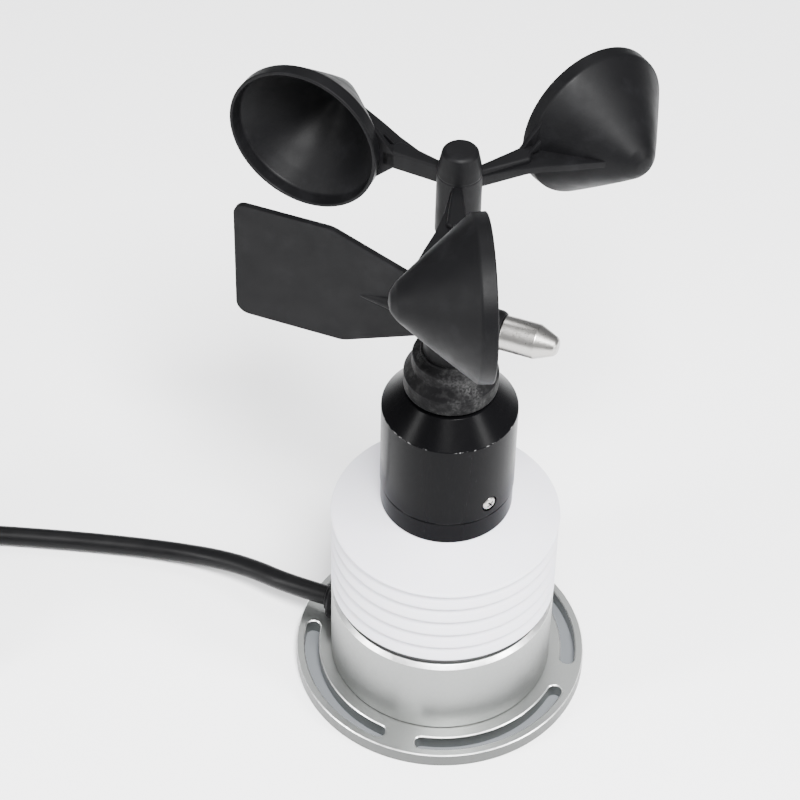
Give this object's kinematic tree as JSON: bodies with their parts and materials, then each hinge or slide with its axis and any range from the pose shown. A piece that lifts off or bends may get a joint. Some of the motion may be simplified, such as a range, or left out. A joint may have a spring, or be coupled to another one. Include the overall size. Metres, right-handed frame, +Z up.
{
  "type": "weather station",
  "caption": "Compact weather station: flanged aluminium base, louvred sensor shield, wind vane with counterweight, cup rotor and signal cable.",
  "frame": {"origin": "centre of the mounting flange's underside", "axes": "+Z up along the rotor's axis; +X, +Y, -X and -Y each run through the middle of one flange slot, and the cable leaves between -X and +Y"},
  "size_m": [0.2966, 0.2156, 0.2404],
  "materials": {
    "blasted_aluminium": "bead blasted, clear anodised, bright chamfers",
    "black_anodised": "satin black anodised",
    "white_plastic": "fine matte",
    "black_plastic": "fine moulded grain",
    "stainless": "turned",
    "bearing_steel": "ground",
    "bronze": "sintered",
    "magnet": "ferrite",
    "board_green": "solder resist",
    "chip_black": "moulded",
    "terminal_green": "moulded",
    "cable_jacket": "smooth",
    "core_colours": "smooth",
    "seal_rubber": "matte",
    "filter_grey": "sintered",
    "washer_plastic": "smooth"
  },
  "bodies": {
    "station": {"mount_flange": "blasted_aluminium", "flange_screws": "stainless", "breather_plug": "black_plastic", "flange_gasket": "seal_rubber", "base_can": "blasted_aluminium", "gland_body": "black_plastic", "gland_nut": "black_plastic", "main_board": "board_green", "board_pillars": "stainless", "board_chips": "chip_black", "terminal_block": "terminal_green", "cable_cores": "core_colours", "signal_cable": "cable_jacket", "cable_coil": "cable_jacket", "coil_tie": "cable_jacket", "core_leads": "core_colours", "tie_rods": "stainless", "tie_nuts": "stainless", "shield_seat": "black_plastic", "shield_spacers": "stainless", "louvre_1": "white_plastic", "louvre_2": "white_plastic", "louvre_3": "white_plastic", "louvre_4": "white_plastic", "louvre_5": "white_plastic", "cap_plate": "white_plastic", "humidity_probe": "black_plastic", "probe_filter": "filter_grey", "mast_tube": "black_anodised", "mast_nuts": "stainless", "adapter_ring": "black_anodised", "housing_screws": "stainless", "wind_housing": "black_anodised", "wind_board": "board_green", "wind_board_posts": "stainless", "wind_sensors": "chip_black", "centre_post": "stainless", "vane_bearing_lower": "bearing_steel", "vane_bearing_upper": "bearing_steel", "thrust_washer": "washer_plastic", "retaining_ring": "stainless", "rotor_bush_lower": "bronze", "rotor_bush_upper": "bronze"},
    "vane": {"vane_collar": "black_plastic", "vane_magnet": "magnet", "vane_hub": "black_plastic", "vane_blade": "black_plastic", "vane_rib": "black_plastic", "weight_stud": "stainless", "counterweight": "stainless"},
    "cup_rotor": {"rotor_spider": "black_plastic", "cup_1": "black_plastic", "cup_2": "black_plastic", "cup_3": "black_plastic", "rotor_shaft": "stainless", "rotor_magnet": "magnet"}
  },
  "joints": [
    {"name": "vane_yaw", "type": "hinge", "parent": "station", "child": "vane", "pos_m": [0, 0, 0.14], "axis": [0, 0, 1], "continuous": true},
    {"name": "rotor_spin", "type": "hinge", "parent": "station", "child": "cup_rotor", "pos_m": [0, 0, 0.21], "axis": [0, 0, 1], "continuous": true}
  ]
}
